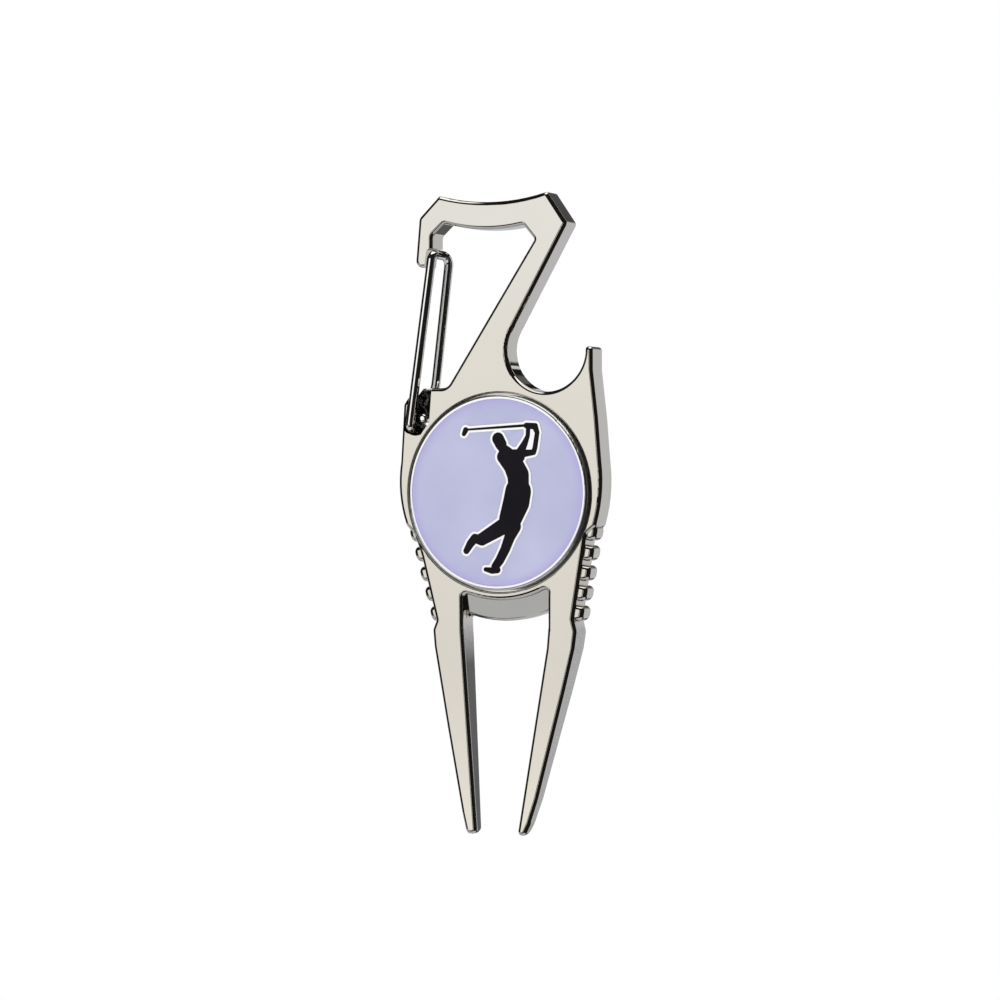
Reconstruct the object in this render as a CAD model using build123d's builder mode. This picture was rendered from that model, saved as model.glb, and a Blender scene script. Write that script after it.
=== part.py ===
"""Divot repair tool: a two-pronged fork with a wire-gate carabiner, a bottle-opener
notch and a magnetic seat that holds a 25 mm enamelled ball marker.

Millimetres, +Z up, prongs down, front face towards -Y.  The origin is the hanging
point, on the underside of the carabiner's top bar, midway through the thickness.
"""
from build123d import *
from math import acos, atan2, cos, degrees, hypot, radians, sin
import os

# ---- driving dimensions -------------------------------------------------------------
THICKNESS = 3.5            # casting, front face to back face
EDGE_ROUND = 0.5           # rounding along the casting's front face
BACK_ROUND = 0.3
HANG_ABOVE_MARKER = 33.65  # hanging point above the marker's centre
HANG_LEFT_OF_MARKER = 1.0
TIP_Z = -43.7              # prong tips, from the marker's centre
TIP_THICKNESS = 1.7
TAPER_START_Z = -18.4
TIP_END_THICKNESS = 0.8    # after the back of each tip has been rounded off

MARKER_RADIUS = 12.5
MARKER_THICKNESS = 1.9
SEAT_RADIUS = 12.7
SEAT_DEPTH = 1.35
SEAT_ROUND = 0.3

MAGNET_RADIUS = 4.0
MAGNET_THICKNESS = 1.1
MAGNET_CLEARANCE = 0.1
ADHESIVE_THICKNESS = 0.1

WIRE_RADIUS = 0.6
WIRE_END_ROUND = 0.35
POCKET_DEPTH = 1.25
LEG_DEPTH = 0.25           # front leg's centre line behind the front face
BACK_LEG_DEPTH = 2.9
PIVOT = (-12.7, 8.3)       # gate's hinge axis, parallel to Y
BACK_PIN = (-11.2, 9.6)    # the wire's other end, in a clearance slot
PIN_CLEARANCE = 0.06
GATE_OPENING = 17.0        # degrees

RIM_RADIUS = 11.97         # inside of the marker's raised rim
ENAMEL_DEPTH = 0.45
ENAMEL_TOP_GAP = 0.06      # enamel lies this far below the metal lines
METAL_LINE = 0.28          # width of the metal line round the figure
RIM_ROUND = 0.3

# Front face plane: local x is X, local y is Z, both measured from the marker's centre.
FACE = Plane(
    origin=(HANG_LEFT_OF_MARKER, -THICKNESS / 2, -HANG_ABOVE_MARKER),
    x_dir=(1, 0, 0),
    z_dir=(0, -1, 0),
)
BACK = FACE.offset(-THICKNESS)
SIDE = Plane(origin=FACE.origin, x_dir=(0, 1, 0), z_dir=(1, 0, 0))      # depth, height
RADIAL = Plane(origin=FACE.origin, x_dir=(1, 0, 0), z_dir=(0, 0, 1))    # radius, depth


def swung(point, angle):
    """A point of the face plane after the gate has opened by an angle in degrees."""
    dx, dz = point[0] - PIVOT[0], point[1] - PIVOT[1]
    a = radians(angle)
    return (PIVOT[0] + dx * cos(a) + dz * sin(a), PIVOT[1] - dx * sin(a) + dz * cos(a))


# ---- casting: carabiner hook, opener notch, marker seat and two prongs --------------
HOOK_OUTSIDE = [(-11.9, 29.0), (-11.35, 35.35), (-8.5, 38.15)]
TOP_BAR_LOW = (-1.0, 37.15)
TOP_RIGHT = (6.65, 38.2)
RIGHT_CORNER = (9.45, 34.15)
ARM_FOOT = (2.15, 21.3)
NOTCH_CENTRE = (6.5, 18.2)
NOTCH_RADIUS = 5.4
TOOTH_TOP = 18.45
TOOTH_OUTSIDE = 12.95
WIDEST = 14.2
PRONG_GAP = (-5.1, 6.8)    # between the prongs' inner sides at their roots
BRIDGE_RECESS = 1.1        # at the seat's lip
BRIDGE_LEAN = 8.0          # degrees
BRIDGE_RADIUS = 16.4       # the bridge's underside, about the marker
SEAT_LIP_RADIUS = 13.75
BRIDGE_FACE = Plane(
    origin=FACE.origin + Vector(0, BRIDGE_RECESS, -SEAT_LIP_RADIUS),
    x_dir=(1, 0, 0),
    z_dir=(0, -cos(radians(BRIDGE_LEAN)), -sin(radians(BRIDGE_LEAN))),
)

# grip pads down both flanks: outer side of each row, at its first pad and its last
PAD_ROWS = [((13.35, -5.25), (11.55, -15.45)), ((-12.8, -5.6), (-9.9, -15.8))]
PADS_PER_ROW = 5
PAD_HEIGHT = 2.05
PAD_REACH = 1.6            # from a pad's outer side into the casting
PAD_DEPTH = 0.35           # the pads' faces lie this far inside the casting's faces
PAD_ROUND = 0.6
PAD_TOP_CORNER = 0.65
PAD_LOW_CORNER = 0.95

# pockets for the gate's legs; the front one has the wall that stops the gate
POCKET_WALL = 13.3         # radius about the marker, so the pocket stays out of the seat
KEEPER_TOP = (-10.2, 31.45)      # notch in the nose where the closed gate rests
KEEPER_LOW_X = -10.62

CORNER_ROUNDS = [
    (HOOK_OUTSIDE[0], 0.9), (HOOK_OUTSIDE[1], 0.8), (HOOK_OUTSIDE[2], 0.25),
    (TOP_RIGHT, 0.35), (RIGHT_CORNER, 0.5), ((-9.4, 33.1), 0.8),
    ((TOOTH_OUTSIDE, TOOTH_TOP), 0.5), ((NOTCH_CENTRE[0] + NOTCH_RADIUS, TOOTH_TOP), 0.4),
    ((-13.55, 11.4), 0.6), ((-12.9, 12.3), 0.5), ((-12.0, 12.5), 0.5), ((-11.2, 13.45), 0.5),
    ((-7.35, 13.45), 1.3), ((13.4, -4.2), 0.8), ((-13.2, -4.2), 0.8), ((12.1, -5.3), 0.8),
    ((-12.0, -5.5), 0.8), ((-11.05, -8.0), 6.0), ((10.35, -16.0), 0.5), ((-8.9, -16.4), 0.5),
    ((10.75, -17.6), 1.2), ((-9.4, -17.6), 0.9),
    ((6.8, -14.9), 0.5), ((-5.1, -15.55), 0.5), ((5.4, -39.0), 10.0), ((4.35, -42.1), 2.5),
    ((3.55, TIP_Z), 0.6), ((2.5, TIP_Z), 0.55), ((-3.1, TIP_Z), 0.65), ((-4.6, TIP_Z), 0.7),
    ((4.9, 32.2), 0.3), ((3.3, 34.1), 0.3),
    ((-7.75, 34.6), 0.4), ((-9.45, 29.0), 0.5),
]

# one pad, its outer side at the origin and reaching towards -X
with BuildPart() as grip_pad:
    with BuildSketch(Plane.XY.offset(-THICKNESS / 2 + PAD_DEPTH)) as pad_outline:
        Rectangle(PAD_REACH, PAD_HEIGHT, align=(Align.MAX, Align.CENTER))
        outer = pad_outline.vertices().group_by(Axis.X)[-1].sort_by(Axis.Y)
        fillet(outer[1], PAD_TOP_CORNER)
        fillet(pad_outline.vertices().sort_by_distance((0, -PAD_HEIGHT / 2))[0], PAD_LOW_CORNER)
    extrude(amount=THICKNESS - 2 * PAD_DEPTH)
    pad_edges = grip_pad.edges().group_by(Axis.Z)
    fillet(pad_edges[0] + pad_edges[-1], PAD_ROUND)

# what is cut away to round the bridge's lower front edge, between the prongs
with BuildPart() as bridge_foot:
    with BuildSketch(RADIAL):
        with BuildLine():
            foot = ThreePointArc((15.2, 1.08), (16.1, 1.45), (BRIDGE_RADIUS + 0.05, 2.1))
            Polyline(foot @ 1, (BRIDGE_RADIUS + 0.6, 2.1), (BRIDGE_RADIUS + 0.6, 0.9), (15.2, 0.9), foot @ 0)
        make_face()
    revolve(axis=Axis(FACE.origin, (0, 1, 0)))
    with BuildSketch(FACE):
        with Locations(((PRONG_GAP[0] + PRONG_GAP[1]) / 2, -BRIDGE_RADIUS)):
            Rectangle(PRONG_GAP[1] - PRONG_GAP[0] - 0.1, 4.0)
    extrude(amount=-THICKNESS, mode=Mode.INTERSECT)

with BuildPart() as tool_body:
    with BuildSketch(FACE) as casting_outline:
        with BuildLine():
            # nose, top bar and outer edge of the arm
            Polyline(*HOOK_OUTSIDE)
            ThreePointArc(HOOK_OUTSIDE[-1], TOP_BAR_LOW, TOP_RIGHT)
            Polyline(TOP_RIGHT, RIGHT_CORNER, ARM_FOOT)
            # opener notch and its tooth
            Spline(
                ARM_FOOT,
                (NOTCH_CENTRE[0] - NOTCH_RADIUS, NOTCH_CENTRE[1]),
                tangents=[(-0.51, -0.86), (0, -1)],
            )
            ThreePointArc(
                (NOTCH_CENTRE[0] - NOTCH_RADIUS, NOTCH_CENTRE[1]),
                (NOTCH_CENTRE[0], NOTCH_CENTRE[1] - NOTCH_RADIUS),
                (NOTCH_CENTRE[0] + NOTCH_RADIUS, NOTCH_CENTRE[1] - 0.6),
            )
            Polyline(
                (NOTCH_CENTRE[0] + NOTCH_RADIUS, NOTCH_CENTRE[1] - 0.6),
                (NOTCH_CENTRE[0] + NOTCH_RADIUS, TOOTH_TOP),
                (TOOTH_OUTSIDE, TOOTH_TOP),
                (TOOTH_OUTSIDE, 15.5),
                (13.65, 9.5),
                (14.1, 4.0),
            )
            ThreePointArc((14.1, 4.0), (WIDEST + 0.05, 0.8), (13.4, -4.2))
            # right flank, prong shoulder and right prong
            Polyline(
                (13.4, -4.2), (12.1, -5.3), (10.35, -16.0), (10.75, -17.6),
                (10.45, -19.8), (9.15, -25.0), (5.4, -39.0), (4.35, -42.1),
            )
            Polyline((4.35, -42.1), (3.55, TIP_Z), (2.5, TIP_Z), (6.55, -19.8), (6.8, -16.8), (6.8, -14.9))
            # underside of the bridge, round the marker's centre
            ThreePointArc((6.8, -14.9), (0, -BRIDGE_RADIUS), (-5.1, -15.55))
            # left prong, shoulder and flank
            Polyline((-5.1, -15.55), (-5.1, -17.0), (-3.1, TIP_Z), (-4.6, TIP_Z))
            Polyline(
                (-4.6, TIP_Z), (-5.25, -41.0), (-7.35, -30.0), (-9.2, -19.8), (-9.4, -17.6),
                (-8.9, -16.4), (-11.05, -8.0), (-12.0, -5.5), (-13.2, -4.2),
            )
            ThreePointArc((-13.2, -4.2), (-WIDEST, 0.6), (-14.0, 4.0))
            # gate shoulder and inside of the carabiner
            Polyline(
                (-14.0, 4.0), (-13.55, 11.4), (-12.9, 12.3), (-12.0, 12.5), (-11.2, 13.45),
                (-7.35, 13.45), (4.9, 32.2), (3.3, 34.1),
            )
            ThreePointArc((3.3, 34.1), (-1.0, HANG_ABOVE_MARKER), (-7.75, 34.6))
            Polyline((-7.75, 34.6), (-9.4, 33.1), (-9.45, 29.0), HOOK_OUTSIDE[0])
        make_face()
        for corner, radius in CORNER_ROUNDS:
            fillet(casting_outline.vertices().sort_by_distance(corner)[0], radius)
    extrude(amount=-THICKNESS)

    # the prongs thin towards their tips, on the back only
    with BuildSketch(SIDE):
        with BuildLine():
            taper = Line((THICKNESS, TAPER_START_Z), (TIP_THICKNESS, TIP_Z - 1))
            Polyline(taper @ 1, (THICKNESS + 1, TIP_Z - 1), (THICKNESS + 1, TAPER_START_Z), taper @ 0)
        make_face()
    extrude(amount=40, both=True, mode=Mode.SUBTRACT)

    # the bridge between the prongs lies lower than the front face and leans back downwards,
    # outside the seat's lip
    with BuildSketch(BRIDGE_FACE) as recess:
        with Locations(((PRONG_GAP[0] + PRONG_GAP[1]) / 2, 0)):
            Rectangle(PRONG_GAP[1] - PRONG_GAP[0], 7.0)
        with Locations((0, SEAT_LIP_RADIUS)):
            Circle(SEAT_LIP_RADIUS, mode=Mode.SUBTRACT)
        lip_corners = recess.vertices().group_by(Axis.Y)
        fillet(lip_corners[-1] + lip_corners[-2], 0.5)
    extrude(amount=THICKNESS, dir=(0, -1, 0), mode=Mode.SUBTRACT)

    # both faces are rounded all along the outline
    rims = tool_body.edges().filter_by(Axis.Y, reverse=True)
    fillet(rims.filter_by_position(Axis.Y, FACE.origin.Y, FACE.origin.Y), EDGE_ROUND)
    taper_crease_z = FACE.origin.Z + TAPER_START_Z
    back_rims = tool_body.edges().filter_by(Axis.Y, reverse=True).filter_by(
        lambda edge: edge.center().Y > FACE.origin.Y + TIP_THICKNESS + 0.1
        and abs(edge.center().Z - taper_crease_z) > 0.01
    )
    fillet(back_rims, BACK_ROUND)

    # the bridge's lower front edge is rounded
    add(bridge_foot.part, mode=Mode.SUBTRACT)

    # the back of each tip is rounded off
    with BuildSketch(SIDE):
        with BuildLine():
            ThreePointArc((1.95, -41.2), (1.6, -42.9), (TIP_END_THICKNESS, TIP_Z - 0.1))
            Polyline((TIP_END_THICKNESS, TIP_Z - 0.1), (4, TIP_Z - 1), (4, -41.2), (1.95, -41.2))
        make_face()
    extrude(amount=40, both=True, mode=Mode.SUBTRACT)

    # grip pads
    for first, last in PAD_ROWS:
        lean = degrees(atan2(last[0] - first[0], first[1] - last[1]))
        for i in range(PADS_PER_ROW):
            t = i / (PADS_PER_ROW - 1)
            side = (first[0] + t * (last[0] - first[0]), first[1] + t * (last[1] - first[1]))
            with Locations(FACE * Location((side[0], side[1], -THICKNESS / 2), (0, 0, lean))):
                add(grip_pad.part if side[0] > 0 else grip_pad.part.mirror(Plane.YZ))

    # marker seat with a rounded mouth, and the magnet's pocket in its floor
    with BuildSketch(RADIAL):
        with BuildLine():
            mouth = RadiusArc(
                (SEAT_RADIUS + SEAT_ROUND, 0), (SEAT_RADIUS, SEAT_ROUND), SEAT_ROUND
            )
            Polyline(
                mouth @ 1,
                (SEAT_RADIUS, SEAT_DEPTH),
                (MAGNET_RADIUS + MAGNET_CLEARANCE, SEAT_DEPTH),
                (MAGNET_RADIUS + MAGNET_CLEARANCE, SEAT_DEPTH + MAGNET_THICKNESS + ADHESIVE_THICKNESS),
                (0, SEAT_DEPTH + MAGNET_THICKNESS + ADHESIVE_THICKNESS),
                (0, -1),
                (SEAT_RADIUS + SEAT_ROUND, -1),
                mouth @ 0,
            )
        make_face()
    revolve(axis=Axis(FACE.origin, (0, 1, 0)), mode=Mode.SUBTRACT)

    # front pocket, with the wall that the gate's front leg stops against
    with BuildSketch(FACE):
        with BuildLine():
            Polyline((-12.5, 14.5), (-13.38, 8.3))
            ThreePointArc((-13.38, 8.3), (-13.18, 7.82), (-12.7, 7.6))
            ThreePointArc((-12.7, 7.6), (-11.5, 7.35), (-10.4, 7.9))
            Polyline((-10.4, 7.9), (-9.8, 9.1), (-9.45, 13.6), (-9.45, 14.5), (-12.5, 14.5))
        make_face()
        Circle(POCKET_WALL, mode=Mode.SUBTRACT)
    extrude(amount=-POCKET_DEPTH, mode=Mode.SUBTRACT)

    # back pocket
    with BuildSketch(BACK):
        with BuildLine():
            Polyline((-11.6, 14.5), (-12.0, 9.6))
            ThreePointArc((-12.0, 9.6), (-11.2, 8.2), (-9.9, 8.6))
            Polyline((-9.9, 8.6), (-6.6, 14.9), (-6.6, 16.5), (-11.6, 14.5))
        make_face()
    extrude(amount=POCKET_DEPTH, mode=Mode.SUBTRACT)

    # pivot hole in the web between the pockets, and the slot for the wire's other end
    with BuildSketch(FACE):
        with Locations(PIVOT):
            Circle(WIRE_RADIUS + PIN_CLEARANCE)
    extrude(amount=-(POCKET_DEPTH + 1.2), mode=Mode.SUBTRACT)
    open_pin = swung(BACK_PIN, GATE_OPENING)
    with BuildSketch(FACE):
        SlotCenterPoint(
            ((BACK_PIN[0] + open_pin[0]) / 2, (BACK_PIN[1] + open_pin[1]) / 2),
            open_pin,
            2 * (WIRE_RADIUS + PIN_CLEARANCE),
        )
    extrude(amount=-THICKNESS, mode=Mode.SUBTRACT)

    # keeper notch in the nose
    with BuildSketch(FACE) as keeper:
        Polygon((KEEPER_LOW_X, 28.4), KEEPER_TOP, (-9.0, KEEPER_TOP[1]), (-9.0, 28.4), align=None)
        fillet(keeper.vertices().sort_by_distance(KEEPER_TOP)[0], WIRE_RADIUS)
    extrude(amount=-THICKNESS, mode=Mode.SUBTRACT)

tool_body.part.label = "tool_body"


# ---- wire gate: one loop of wire, its two ends turned into the web ------------------
GATE_TOP = (-9.5, 30.75)
GATE_ROUTE = [
    (PIVOT[0], PIVOT[1], -2.3),
    (PIVOT[0], PIVOT[1], -LEG_DEPTH),
    (GATE_TOP[0], GATE_TOP[1], -LEG_DEPTH),
    (-8.25, 30.5, -BACK_LEG_DEPTH),
    (-10.2, 14.2, -BACK_LEG_DEPTH),
    (BACK_PIN[0], BACK_PIN[1], -BACK_LEG_DEPTH),
    (BACK_PIN[0], BACK_PIN[1], -0.8),
]
GATE_BENDS = [0.65, 0.7, 1.3, 6, 0.65]

with BuildPart() as wire_gate:
    with BuildLine(FACE) as gate_path:
        FilletPolyline(*GATE_ROUTE, radius=GATE_BENDS)
    with BuildSketch(Plane(origin=gate_path.line @ 0, z_dir=gate_path.line % 0)):
        Circle(WIRE_RADIUS)
    sweep()
    fillet(wire_gate.faces().sort_by_distance(gate_path.line @ 1)[0].edges(), WIRE_END_ROUND)
wire_gate.part.label = "wire_gate"


# ---- seat magnet, glued into its pocket ---------------------------------------------
with BuildPart() as magnet_adhesive:
    with BuildSketch(FACE.offset(-SEAT_DEPTH - MAGNET_THICKNESS)):
        Circle(MAGNET_RADIUS)
    extrude(amount=-ADHESIVE_THICKNESS)
magnet_adhesive.part.label = "magnet_adhesive"

with BuildPart() as seat_magnet:
    with BuildSketch(FACE.offset(-SEAT_DEPTH)):
        Circle(MAGNET_RADIUS)
    extrude(amount=-MAGNET_THICKNESS)
    chamfer(seat_magnet.edges().group_by(Axis.Y)[0], 0.15)
seat_magnet.part.label = "seat_magnet"


# ---- ball marker: struck steel blank with raised metal lines, filled with enamel ----
MARKER_GAP = 0.05          # between the marker's back and the seat's floor
MARKER_FRONT = FACE.offset(MARKER_THICKNESS - SEAT_DEPTH + MARKER_GAP)
FIGURE = [
    # start, end, radius at the start, radius at the end
    ((0.22, 6.85), (0.62, 6.15), 0.82, 0.8),    # head
    ((0.77, 5.7), (1.57, 5.0), 0.62, 0.8),      # neck
    ((1.02, 4.55), (3.07, 4.6), 0.95, 0.9),     # shoulders
    ((1.02, 4.5), (2.67, 2.6), 0.9, 1.1),       # chest
    ((2.17, 3.9), (3.02, 2.2), 1.35, 1.5),
    ((3.02, 2.2), (3.07, 0.9), 1.5, 1.45),
    ((3.02, 0.1), (2.77, -1.2), 1.8, 1.83),     # hips
    ((2.77, -1.2), (1.92, -3.4), 1.83, 1.55),
    ((2.37, -4.3), (1.87, -5.6), 1.05, 0.75),   # standing leg
    ((1.87, -5.6), (1.22, -7.2), 0.75, 0.67),
    ((1.22, -7.2), (0.47, -8.6), 0.67, 0.62),
    ((0.47, -8.6), (-0.18, -9.45), 0.62, 0.55),
    ((-1.53, -9.8), (-0.63, -9.95), 0.28, 0.42),# standing foot
    ((-0.63, -9.95), (0.12, -9.85), 0.42, 0.45),
    ((1.67, -3.9), (-2.03, -5.95), 1.1, 0.82),  # trailing leg
    ((-2.03, -5.97), (-2.83, -5.95), 0.82, 0.55),
    ((-3.03, -5.85), (-3.63, -6.5), 0.6, 0.54), # trailing foot
    ((-3.63, -6.5), (-4.23, -7.45), 0.54, 0.43),
    ((3.67, 4.95), (5.17, 5.1), 0.5, 0.36),     # outer arm
    ((5.17, 5.1), (5.37, 5.7), 0.36, 0.35),
    ((5.37, 5.7), (5.67, 7.6), 0.35, 0.33),
    ((5.67, 7.6), (5.37, 8.35), 0.33, 0.42),
    ((3.37, 5.2), (3.97, 6.3), 0.6, 0.42),      # inner arm
    ((3.97, 6.3), (4.37, 7.2), 0.42, 0.3),
    ((4.37, 7.2), (4.42, 8.3), 0.3, 0.32),
    ((4.17, 8.5), (5.37, 8.4), 0.38, 0.42),     # hands
    ((4.07, 8.52), (-4.13, 8.05), 0.18, 0.14),  # club
    ((-4.33, 8.0), (-4.58, 7.5), 0.38, 0.3),
]


def stroke(start, end, start_radius, end_radius):
    """A rounded stroke whose width changes evenly from one end to the other."""
    length = hypot(end[0] - start[0], end[1] - start[1])
    heading = atan2(end[1] - start[1], end[0] - start[0])
    spread = acos((start_radius - end_radius) / length)
    Polygon(
        *[
            (centre[0] + radius * cos(heading + turn), centre[1] + radius * sin(heading + turn))
            for centre, radius, turn in (
                (start, start_radius, spread), (end, end_radius, spread),
                (end, end_radius, -spread), (start, start_radius, -spread),
            )
        ],
        align=None,
    )
    with Locations(start):
        Circle(start_radius)
    with Locations(end):
        Circle(end_radius)


with BuildSketch(MARKER_FRONT) as figure:
    for limb in FIGURE:
        stroke(*limb)

with BuildSketch(MARKER_FRONT) as ground:
    Circle(RIM_RADIUS)
    with BuildSketch(MARKER_FRONT, mode=Mode.SUBTRACT):
        for start, end, start_radius, end_radius in FIGURE:
            stroke(start, end, start_radius + METAL_LINE, end_radius + METAL_LINE)

ENAMEL_FIELDS = ground.sketch_local.faces().sort_by(SortBy.AREA, reverse=True)[:2]

with BuildPart() as marker_blank:
    with BuildSketch(MARKER_FRONT):
        Circle(MARKER_RADIUS)
    extrude(amount=-MARKER_THICKNESS)
    fillet(marker_blank.edges().group_by(Axis.Y)[0], RIM_ROUND)
    chamfer(marker_blank.edges().group_by(Axis.Y)[-1], 0.2)
    with BuildSketch(MARKER_FRONT):
        add(ENAMEL_FIELDS)
        add(figure.sketch_local)
    extrude(amount=-ENAMEL_DEPTH, mode=Mode.SUBTRACT)
marker_blank.part.label = "marker_blank"

ENAMEL_FRONT = MARKER_FRONT.offset(-ENAMEL_TOP_GAP)

with BuildPart() as ground_enamel:
    with BuildSketch(ENAMEL_FRONT):
        add(ENAMEL_FIELDS[0])
    extrude(amount=-(ENAMEL_DEPTH - ENAMEL_TOP_GAP))
ground_enamel.part.label = "ground_enamel"

with BuildPart() as cell_enamel:
    with BuildSketch(ENAMEL_FRONT):
        add(ENAMEL_FIELDS[1])
    extrude(amount=-(ENAMEL_DEPTH - ENAMEL_TOP_GAP))
cell_enamel.part.label = "cell_enamel"

with BuildPart() as figure_enamel:
    with BuildSketch(ENAMEL_FRONT):
        add(figure.sketch_local)
    extrude(amount=-(ENAMEL_DEPTH - ENAMEL_TOP_GAP))
figure_enamel.part.label = "figure_enamel"


os.makedirs("parts", exist_ok=True)
for piece in (
    tool_body, wire_gate, seat_magnet, magnet_adhesive,
    marker_blank, ground_enamel, cell_enamel, figure_enamel,
):
    export_step(piece.part, f"parts/{piece.part.label}.step")
    box = piece.part.bounding_box()
    print(f"{piece.part.label:16s} volume {piece.part.volume:9.2f} mm3, size {box.size}")
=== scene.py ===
import math

import bpy
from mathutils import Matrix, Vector


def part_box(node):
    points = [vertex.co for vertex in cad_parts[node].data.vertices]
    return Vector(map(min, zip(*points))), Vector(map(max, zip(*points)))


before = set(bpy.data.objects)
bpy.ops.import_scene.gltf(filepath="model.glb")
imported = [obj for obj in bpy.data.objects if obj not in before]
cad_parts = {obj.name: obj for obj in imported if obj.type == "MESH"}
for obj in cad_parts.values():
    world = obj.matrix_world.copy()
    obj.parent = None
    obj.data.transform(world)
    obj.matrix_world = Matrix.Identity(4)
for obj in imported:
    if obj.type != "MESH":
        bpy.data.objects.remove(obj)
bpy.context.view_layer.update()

MM = 0.001
scene = bpy.context.scene

# ---- places, worked out from the frame ----------------------------------------------
blank_low, blank_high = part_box("marker_blank")
body_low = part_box("tool_body")[0]
# the marker's middle, on the casting's front face
MARKER = Vector((
    (blank_low[0] + blank_high[0]) / 2,
    body_low[1],
    (blank_low[2] + blank_high[2]) / 2,
))

# ---- node helpers -------------------------------------------------------------------
RISING = (0.0, 1.0)
FALLING = (1.0, 0.0)
NOISE_MIDDLE = (0.3, 0.7)        # where most of a noise's values lie


class Tree:
    """A node tree with short calls for adding and joining nodes."""

    def __init__(self, tree):
        self.tree = tree
        tree.nodes.clear()

    def add(self, kind, inputs=None, **settings):
        node = self.tree.nodes.new(kind)
        for name, value in settings.items():
            setattr(node, name, value)
        for name, value in (inputs or {}).items():
            self.put(node.inputs[name], value)
        return node

    def put(self, socket, value):
        if isinstance(value, bpy.types.NodeSocket):
            self.tree.links.new(value, socket)
        else:
            socket.default_value = value

    def math(self, operation, a, b=0.0):
        return self.add("ShaderNodeMath", {0: a, 1: b}, operation=operation).outputs[0]

    def noise(self, vector, scale, detail=3.0, roughness=0.5):
        """A cloudy pattern from 0 to 1, with scale blobs to the metre."""
        inputs = {"Vector": vector, "Scale": scale, "Detail": detail, "Roughness": roughness}
        return self.add("ShaderNodeTexNoise", inputs).outputs["Fac"]

    def stretch(self, vector, scale):
        return self.add("ShaderNodeMapping", {"Vector": vector, "Scale": scale}).outputs[0]

    def from_marker(self, place):
        """The distance from the axis through the marker's middle."""
        ends = {0: self.stretch(place, (1, 0, 1)), 1: (MARKER.x, 0, MARKER.z)}
        return self.add("ShaderNodeVectorMath", ends, operation="DISTANCE").outputs["Value"]

    def span(self, value, ends, origin=0.0, to=RISING, smooth=False):
        """Takes value from ends, which are measured from origin, to the two values in to."""
        inputs = {0: value, 1: origin + ends[0], 2: origin + ends[1], 3: to[0], 4: to[1]}
        kind = "SMOOTHSTEP" if smooth else "LINEAR"
        return self.add("ShaderNodeMapRange", inputs, interpolation_type=kind).outputs[0]

    def blend(self, factor, a, b):
        """Numbers or sockets, from a at 0 to b at 1."""
        return self.span(factor, RISING, to=(a, b))

    def mix(self, factor, a, b):
        """Colours, from a at 0 to b at 1."""
        node = self.add("ShaderNodeMix", data_type="RGBA")
        for socket, value in ((node.inputs[0], factor), (node.inputs[6], a), (node.inputs[7], b)):
            self.put(socket, value)
        return node.outputs[2]

    def bump(self, height, distance, strength=1.0, normal=None):
        """A relief that is distance deep, in metres; it can lie over another one, normal."""
        inputs = {"Height": height, "Distance": distance, "Strength": strength}
        if normal is not None:
            inputs["Normal"] = normal
        return self.add("ShaderNodeBump", inputs).outputs[0]


def material(name):
    made = bpy.data.materials.new(name)
    made.use_nodes = True
    t = Tree(made.node_tree)
    place = t.add("ShaderNodeTexCoord").outputs["Object"]
    shader = t.add("ShaderNodeBsdfPrincipled")
    out = t.add("ShaderNodeOutputMaterial")
    t.put(out.inputs["Surface"], shader.outputs[0])
    return made, t, place, shader


def colour(red, green, blue):
    """A linear colour from the 0 to 255 values of a screen colour."""
    def linear(level):
        share = level / 255
        return share / 12.92 if share <= 0.04045 else ((share + 0.055) / 1.055) ** 2.4
    return (linear(red), linear(green), linear(blue), 1.0)


# ---- materials ----------------------------------------------------------------------
# each pair of colours is mixed by a noise
NICKEL = ((0.672, 0.637, 0.565, 1), (0.716, 0.680, 0.606, 1))
# the prong sides' grainy sand-cast finish, its tone darkened as painted shade
SANDY_AND_SHADED = ((0.44, 0.42, 0.385, 1), (0.70, 0.665, 0.61, 1))
# painted shade: dark streaks on the prong sides that face each other
PRONG_GAP_SHADE = ((0.038, 0.035, 0.030, 1), (0.082, 0.076, 0.066, 1))
# painted shade in the gate's front pocket: near black, with grey grains
POCKET_SHADE = ((0.012, 0.011, 0.010, 1), (0.45, 0.44, 0.42, 1))
WIRE = ((0.88, 0.865, 0.83, 1), (0.96, 0.945, 0.91, 1))
STRUCK_METAL = ((0.87, 0.87, 0.86, 1), (0.93, 0.93, 0.93, 1))
MAGNET = ((0.55, 0.54, 0.51, 1), (0.68, 0.67, 0.63, 1))
GLUE = ((0.50, 0.44, 0.28, 1), (0.62, 0.56, 0.38, 1))
LAVENDER = (colour(163, 165, 194), colour(175, 176, 204))
# painted shade: a darker, more purple lavender towards the rim
LAVENDER_RIM_SHADE = colour(160, 154, 200)
BLACK = (colour(9, 7, 12), colour(22, 17, 26))

# and so is each pair of roughnesses
PLATING_ROUGHNESS = (0.045, 0.085)
WIRE_ROUGHNESS = (0.03, 0.05)
MARKER_ROUGHNESS = (0.04, 0.08)
MAGNET_ROUGHNESS = (0.25, 0.4)
GLUE_ROUGHNESS = (0.25, 0.45)
PRONG_SIDE_ROUGHNESS = 0.17
POCKET_ROUGHNESS = 0.32
RIM_ROUGHNESS = 0.38
ENAMEL_ROUGHNESS_SPREAD = 0.07

# how a noise is cut into grains, and how it is stretched: blobs to the metre along x, y and z
SAND_GRAINS = (0.35, 0.65)
GRIT_GRAINS = (0.52, 0.66)
ENAMEL_FLECKS = (0.64, 0.74)
ENAMEL_SPECKS = (0.2, 0.8)
FLECK_SHARE = 0.5
PRONG_GAP_SHADE_STRETCH = (900, 900, 120)
WIRE_STRETCH = (2500, 2500, 40)

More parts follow.
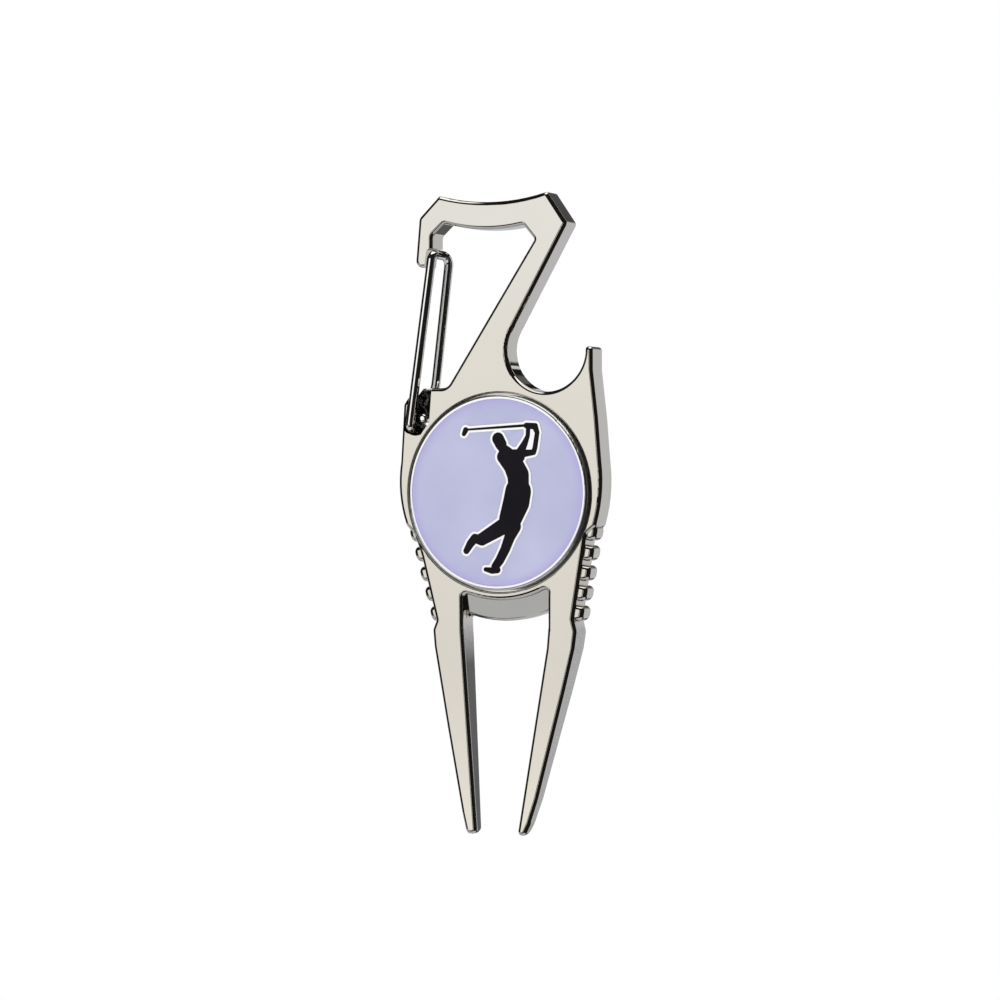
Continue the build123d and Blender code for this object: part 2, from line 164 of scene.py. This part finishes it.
# the open pocket for the gate's front leg: where each of its sides starts and ends
POCKET_OUTER_X = (-13.5 * MM, -13.42 * MM)      # from the marker's middle
POCKET_INNER_X = (-9.6 * MM, -9.3 * MM)
POCKET_LOW_Z = (7.2 * MM, 7.4 * MM)
POCKET_HIGH_Z = (13.1 * MM, 13.3 * MM)
POCKET_NEAR_Y = (1.0 * MM, 1.2 * MM)            # behind the front face
POCKET_FAR_Y = (1.9 * MM, 2.1 * MM)

SIDE_NORMAL_Y = (0.06, 0.12)                    # a side wall's normal has less than this along Y
PRONG_TOP_Z = (-16.5 * MM, -17.5 * MM)          # from the marker's middle
# painted shade on the prong sides facing each other: it fades in between these heights, up to this
# share
PRONG_GAP_SHADE_Z = (-17.5 * MM, -22 * MM)
PRONG_GAP_SHADE_SHARE = 0.9
BETWEEN_PRONGS = (1.5 * MM, 2.0 * MM)           # distance from the middle, times the normal inwards

RIM_OUTSIDE = (12.2 * MM, 12.4 * MM)            # radii on the marker
# painted shade on the lavender enamel: it deepens between these radii, up to this share
RIM_SHADE_RADII = (10.6 * MM, 12.0 * MM)
RIM_SHADE_SHARE = 0.8


def polished_casting():
    """Nickel plating: bright faces; grainy prong sides, their tone darkened with painted shade;
    painted shade between the prongs; and a rough floor in the front pocket for the gate, darkened
    with painted shade."""
    made, t, place, shader = material("nickel_plated_casting")
    x, y, z = t.add("ShaderNodeSeparateXYZ", {0: place}).outputs
    pocket = t.span(y, POCKET_NEAR_Y, body_low[1])
    for share in (
        t.span(x, POCKET_INNER_X, MARKER.x, FALLING),
        t.span(x, POCKET_OUTER_X, MARKER.x),
        t.span(z, POCKET_LOW_Z, MARKER.z),
        t.span(z, POCKET_HIGH_Z, MARKER.z, FALLING),
        t.span(y, POCKET_FAR_Y, body_low[1], FALLING),
    ):
        pocket = t.math("MULTIPLY", pocket, share)

    normal = t.add("ShaderNodeTexCoord").outputs["Normal"]
    normal_x, normal_y, _ = t.add("ShaderNodeSeparateXYZ", {0: normal}).outputs
    side = t.span(t.math("ABSOLUTE", normal_y), SIDE_NORMAL_Y, to=FALLING)
    prong_side = t.math("MULTIPLY", side, t.span(z, PRONG_TOP_Z, MARKER.z))
    inward = t.math("MULTIPLY", normal_x, t.math("SUBTRACT", MARKER.x, x))
    between = t.math("MULTIPLY", prong_side, t.span(inward, BETWEEN_PRONGS))
    gap_shade_fade = t.span(z, PRONG_GAP_SHADE_Z, MARKER.z, to=(0.0, PRONG_GAP_SHADE_SHARE))
    prong_gap_shade = t.math("MULTIPLY", between, gap_shade_fade)

    grit = t.noise(place, scale=2600, detail=4, roughness=0.7)
    sand = t.noise(place, scale=6500, detail=2)
    gap_shade_streaks = t.noise(t.stretch(place, PRONG_GAP_SHADE_STRETCH), scale=1.0)
    plating = t.mix(t.noise(place, scale=90, detail=4), *NICKEL)
    # grainy prong sides, darker as painted shade
    plating = t.mix(prong_side, plating, t.mix(t.span(sand, SAND_GRAINS), *SANDY_AND_SHADED))
    # painted shade, in streaks, on the prong sides that face each other
    plating = t.mix(prong_gap_shade, plating, t.mix(gap_shade_streaks, *PRONG_GAP_SHADE))
    # painted shade, in grains, on the front pocket's floor
    pocket_shade = t.mix(t.span(grit, GRIT_GRAINS), *POCKET_SHADE)
    t.put(shader.inputs["Base Color"], t.mix(pocket, plating, pocket_shade))
    shader.inputs["Metallic"].default_value = 1.0

    polish = t.span(t.noise(place, scale=420, detail=5), NOISE_MIDDLE, to=PLATING_ROUGHNESS)
    polish = t.blend(prong_side, polish, PRONG_SIDE_ROUGHNESS)
    t.put(shader.inputs["Roughness"], t.blend(pocket, polish, POCKET_ROUGHNESS))

    peel = t.bump(t.noise(place, scale=700, detail=2), distance=0.00001, strength=0.12)
    peel = t.bump(t.math("MULTIPLY", sand, prong_side), distance=0.00002, normal=peel)
    rough = t.bump(t.math("MULTIPLY", grit, pocket), distance=0.00025, normal=peel)
    t.put(shader.inputs["Normal"], rough)
    return made


def bright_wire():
    made, t, place, shader = material("bright_steel_wire")
    drawn = t.noise(t.stretch(place, WIRE_STRETCH), scale=1.0, detail=2)
    t.put(shader.inputs["Base Color"], t.mix(drawn, *WIRE))
    shader.inputs["Metallic"].default_value = 1.0
    t.put(shader.inputs["Roughness"], t.span(drawn, NOISE_MIDDLE, to=WIRE_ROUGHNESS))
    t.put(shader.inputs["Normal"], t.bump(drawn, distance=0.000001, strength=0.1))
    return made


def marker_metal():
    """Struck and polished steel, duller on the outside of the rim."""
    made, t, place, shader = material("polished_marker_metal")
    cloud = t.noise(place, scale=260, detail=4)
    t.put(shader.inputs["Base Color"], t.mix(cloud, *STRUCK_METAL))
    shader.inputs["Metallic"].default_value = 1.0
    polish = t.span(cloud, NOISE_MIDDLE, to=MARKER_ROUGHNESS)
    roughness = t.span(t.from_marker(place), RIM_OUTSIDE, to=(polish, RIM_ROUGHNESS))
    t.put(shader.inputs["Roughness"], roughness)
    t.put(shader.inputs["Normal"], t.bump(t.noise(place, scale=900), distance=0.000004, strength=0.2))
    return made


def enamel(name, shades, roughness, specular, edge=None):
    """Fired enamel: soft clouds and fine specks; edge is a colour of painted shade, darker and more
    purple towards the marker's rim.
    """
    made, t, place, shader = material(name)
    speck = t.noise(place, scale=2600, detail=2)
    base = t.mix(t.span(t.noise(place, scale=110), NOISE_MIDDLE), *shades)
    if edge:
        # painted shade, deepening towards the marker's rim
        rim_shade = t.span(t.from_marker(place), RIM_SHADE_RADII, to=(0.0, RIM_SHADE_SHARE), smooth=True)
        base = t.mix(rim_shade, base, edge)
    fleck = t.span(speck, ENAMEL_FLECKS, to=(0.0, FLECK_SHARE))
    t.put(shader.inputs["Base Color"], t.mix(fleck, base, shades[1]))
    roughnesses = (roughness, roughness + ENAMEL_ROUGHNESS_SPREAD)
    t.put(shader.inputs["Roughness"], t.span(speck, ENAMEL_SPECKS, to=roughnesses))
    shader.inputs["Specular IOR Level"].default_value = specular
    t.put(shader.inputs["Normal"], t.bump(t.noise(place, scale=500), distance=0.00001, strength=0.3))
    return made


def nickel_magnet():
    made, t, place, shader = material("nickel_magnet")
    speck = t.noise(place, scale=1500, detail=4)
    t.put(shader.inputs["Base Color"], t.mix(speck, *MAGNET))
    shader.inputs["Metallic"].default_value = 1.0
    t.put(shader.inputs["Roughness"], t.span(speck, NOISE_MIDDLE, to=MAGNET_ROUGHNESS))
    return made


def cured_glue():
    made, t, place, shader = material("cured_epoxy")
    cloud = t.noise(place, scale=700)
    t.put(shader.inputs["Base Color"], t.mix(cloud, *GLUE))
    t.put(shader.inputs["Roughness"], t.span(cloud, NOISE_MIDDLE, to=GLUE_ROUGHNESS))
    return made


lavender = enamel("lavender_enamel", LAVENDER, roughness=0.3, specular=0.4, edge=LAVENDER_RIM_SHADE)
black = enamel("black_enamel", BLACK, roughness=0.5, specular=0.25)
FINISHES = {
    "tool_body": polished_casting(),
    "wire_gate": bright_wire(),
    "seat_magnet": nickel_magnet(),
    "magnet_adhesive": cured_glue(),
    "marker_blank": marker_metal(),
    "ground_enamel": lavender,
    "cell_enamel": lavender,
    "figure_enamel": black,
}
for node_name, finish in FINISHES.items():
    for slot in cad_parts[node_name].material_slots:
        slot.material = finish


# ---- camera -------------------------------------------------------------------------
CAMERA_TURN = math.radians(24.5)
CAMERA_DISTANCE = 0.4464
VIEW_HALF_WIDTH = 1 / 7          # half the picture's width over the distance
SENSOR_WIDTH = 36
AIM_RIGHT = 0.2 * MM             # from the marker's middle, across the line of sight
AIM_UP = -0.95 * MM

camera_data = bpy.data.cameras.new("camera")
camera_data.sensor_width = SENSOR_WIDTH
camera_data.lens = SENSOR_WIDTH / 2 / VIEW_HALF_WIDTH
camera_data.clip_start = 0.01
camera_data.clip_end = 20
camera = bpy.data.objects.new("camera", camera_data)
scene.collection.objects.link(camera)
aim = MARKER + Vector((AIM_RIGHT / math.cos(CAMERA_TURN), 0, AIM_UP))
outward = Vector((math.sin(CAMERA_TURN), -math.cos(CAMERA_TURN), 0))
camera.location = aim + outward * CAMERA_DISTANCE
camera.rotation_euler = (math.pi / 2, 0, CAMERA_TURN)
scene.camera = camera


# ---- floor and studio light ---------------------------------------------------------
FLOOR_DROP = 0.30
FLOOR_HALF = 1.3
FLOOR_GREYS = ((0.88, 0.88, 0.88, 1), (0.92, 0.92, 0.92, 1))
FLOOR_ROUGHNESS = 0.8
FLOOR_GLOW = 0.6                 # lets the floor merge with the white round it

# light panels, in degrees: (low, high, soft edge) of the turn, then of the rise
FRONT = ((-36, -14, 3), (-12, 14, 3))
FRONT_LOW = ((-36, -9, 3), (-20, -12, 2))
MIDDLE = ((-4.5, 3.5, 1.5), (-26, 12, 3))
LEFT_LOW = ((-112, -36, 3), (-44, -13, 3))
FRONT_UPPER_RISE = (0.5, 4.5)    # where the front panel's light changes
FRONT_LOWER_RISE = (-0.5, -2.5)
FRONT_FOOT_RISE = (-3.2, -5.6)
RIGHT_STRIP = ((130, 168, 4), (18.2, 20.6, 1))
CORNER_STRIP = ((134, 160, 4), (31, 38, 2))
LEVEL_RISE = (-28, 15, 3)        # of the two rear panels
RIGHT_REAR_TURN = (118, 128)
LEFT_REAR_TURN = (-118, -110)
BEHIND_TURNS = ((174, 177), (-172, -169))
OVERHEAD_RISE = (52, 56)
OVERHEAD_LEAN = (-0.44, -0.36)   # sideways over upwards, at the panel's left edge
LEAST_UP = 0.05                  # upwards counts as at least this much there
BELOW_RISE = (-48, -44)

WHITE = (1.0, 1.0, 1.0, 1)
SHADE = (0.012, 0.011, 0.010, 1)             # between the panels
FRONT_LIGHT = (1.045, 1.04, 1.035, 1)
FRONT_UPPER_LIGHT = (1.10, 1.13, 1.17, 1)
FRONT_LOWER_LIGHT = (0.99, 0.985, 0.99, 1)
FRONT_FOOT_LIGHT = (1.17, 1.16, 1.15, 1)
FRONT_LOW_LIGHT = (0.56, 0.585, 0.64, 1)
MIDDLE_LIGHT = (0.95, 0.95, 0.96, 1)
LEFT_LOW_LIGHT = (0.50, 0.52, 0.56, 1)
RIGHT_REAR_LIGHT = (0.645, 0.66, 0.71, 1)
STRIP_LIGHT = (0.80, 0.82, 0.86, 1)
LEFT_REAR_LIGHT = (0.58, 0.61, 0.67, 1)
BEHIND_LIGHT = (0.12, 0.12, 0.13, 1)
OVERHEAD_LIGHT = (1.5, 1.5, 1.5, 1)
BELOW_LIGHT = (0.58, 0.60, 0.66, 1)

# name, place from the marker's middle in metres, power in watts
SOFTBOXES = (
    ("key", (-0.5, -0.9, 0.7), 9),
    ("fill", (0.8, -0.8, 0.2), 4),
    ("rear", (0.3, 1.0, 0.6), 7),
)
SOFTBOX_SIDE = 0.7


def pale_floor():
    made, t, place, shader = material("pale_floor")
    t.put(shader.inputs["Base Color"], t.mix(t.noise(place, scale=3), *FLOOR_GREYS))
    shader.inputs["Roughness"].default_value = FLOOR_ROUGHNESS
    shader.inputs["Emission Color"].default_value = WHITE
    shader.inputs["Emission Strength"].default_value = FLOOR_GLOW
    return made


def add_floor():
    mesh = bpy.data.meshes.new("floor")
    z = body_low[2] - FLOOR_DROP
    corners = [(-1, -1), (1, -1), (1, 1), (-1, 1)]
    mesh.from_pydata([(x * FLOOR_HALF, y * FLOOR_HALF, z) for x, y in corners], [], [(0, 1, 2, 3)])
    mesh.materials.append(pale_floor())
    floor = bpy.data.objects.new("floor", mesh)
    scene.collection.objects.link(floor)
    floor.visible_glossy = False


def studio_world():
    """White to look at; in reflections, soft panels of light with dark between them."""
    world = bpy.data.worlds.new("studio")
    world.use_nodes = True
    scene.world = world
    t = Tree(world.node_tree)
    direction = t.add("ShaderNodeTexCoord").outputs["Generated"]
    x, y, z = t.add("ShaderNodeSeparateXYZ", {0: direction}).outputs
    # compass angle round the object: 0 in front, 90 at +X, 180 behind, -90 at -X
    turn = t.math("MULTIPLY", t.math("ARCTAN2", x, t.math("MULTIPLY", y, -1.0)), 180 / math.pi)
    rise = t.math("MULTIPLY", t.math("ARCSINE", z), 180 / math.pi)

    def band(value, low, high, soft):
        edge = (-soft / 2, soft / 2)
        return t.math(
            "MULTIPLY",
            t.span(value, edge, low, smooth=True),
            t.span(value, edge, high, FALLING, smooth=True),
        )

    def panel(turns, rises):
        return t.math("MULTIPLY", band(turn, *turns), band(rise, *rises))

    level = band(rise, *LEVEL_RISE)
    right_rear = t.math("MULTIPLY", t.span(turn, RIGHT_REAR_TURN, smooth=True), level)
    left_rear = t.math("MULTIPLY", t.span(turn, LEFT_REAR_TURN, to=FALLING, smooth=True), level)
    strips = t.math("MAXIMUM", panel(*RIGHT_STRIP), panel(*CORNER_STRIP))
    behind = t.math(
        "MAXIMUM", t.span(turn, BEHIND_TURNS[0]), t.span(turn, BEHIND_TURNS[1], to=FALLING)
    )
    lean = t.math("DIVIDE", x, t.math("MAXIMUM", z, LEAST_UP))
    overhead = t.math(
        "MULTIPLY",
        t.span(rise, OVERHEAD_RISE, smooth=True),
        t.span(lean, OVERHEAD_LEAN, smooth=True),
    )
    below = t.span(rise, BELOW_RISE, to=FALLING, smooth=True)

    # the front panel has four bands of slightly different light, one above the other
    front_light = t.mix(t.span(rise, FRONT_UPPER_RISE), FRONT_LIGHT, FRONT_UPPER_LIGHT)
    front_light = t.mix(t.span(rise, FRONT_LOWER_RISE), front_light, FRONT_LOWER_LIGHT)
    front_light = t.mix(t.span(rise, FRONT_FOOT_RISE), front_light, FRONT_FOOT_LIGHT)

    looked_at = t.add("ShaderNodeLightPath").outputs["Is Camera Ray"]
    seen = SHADE
    # each one covers those before it
    for share, light in (
        (right_rear, RIGHT_REAR_LIGHT),
        (strips, STRIP_LIGHT),
        (left_rear, LEFT_REAR_LIGHT),
        (behind, BEHIND_LIGHT),
        (panel(*LEFT_LOW), LEFT_LOW_LIGHT),
        (panel(*MIDDLE), MIDDLE_LIGHT),
        (panel(*FRONT_LOW), FRONT_LOW_LIGHT),
        (panel(*FRONT), front_light),
        (overhead, OVERHEAD_LIGHT),
        (below, BELOW_LIGHT),
        (looked_at, WHITE),
    ):
        seen = t.mix(share, seen, light)
    background = t.add("ShaderNodeBackground", {"Color": seen, "Strength": 1.0})
    out = t.add("ShaderNodeOutputWorld")
    t.put(out.inputs["Surface"], background.outputs[0])


def softbox(name, place, power):
    data = bpy.data.lights.new(name, "AREA")
    data.shape = "SQUARE"
    data.size = SOFTBOX_SIDE
    data.energy = power
    light = bpy.data.objects.new(name, data)
    light.location = MARKER + Vector(place)
    light.rotation_euler = (MARKER - light.location).to_track_quat("-Z", "Y").to_euler()
    light.visible_glossy = False
    scene.collection.objects.link(light)


add_floor()
studio_world()
for row in SOFTBOXES:
    softbox(*row)
scene.view_settings.view_transform = "Standard"
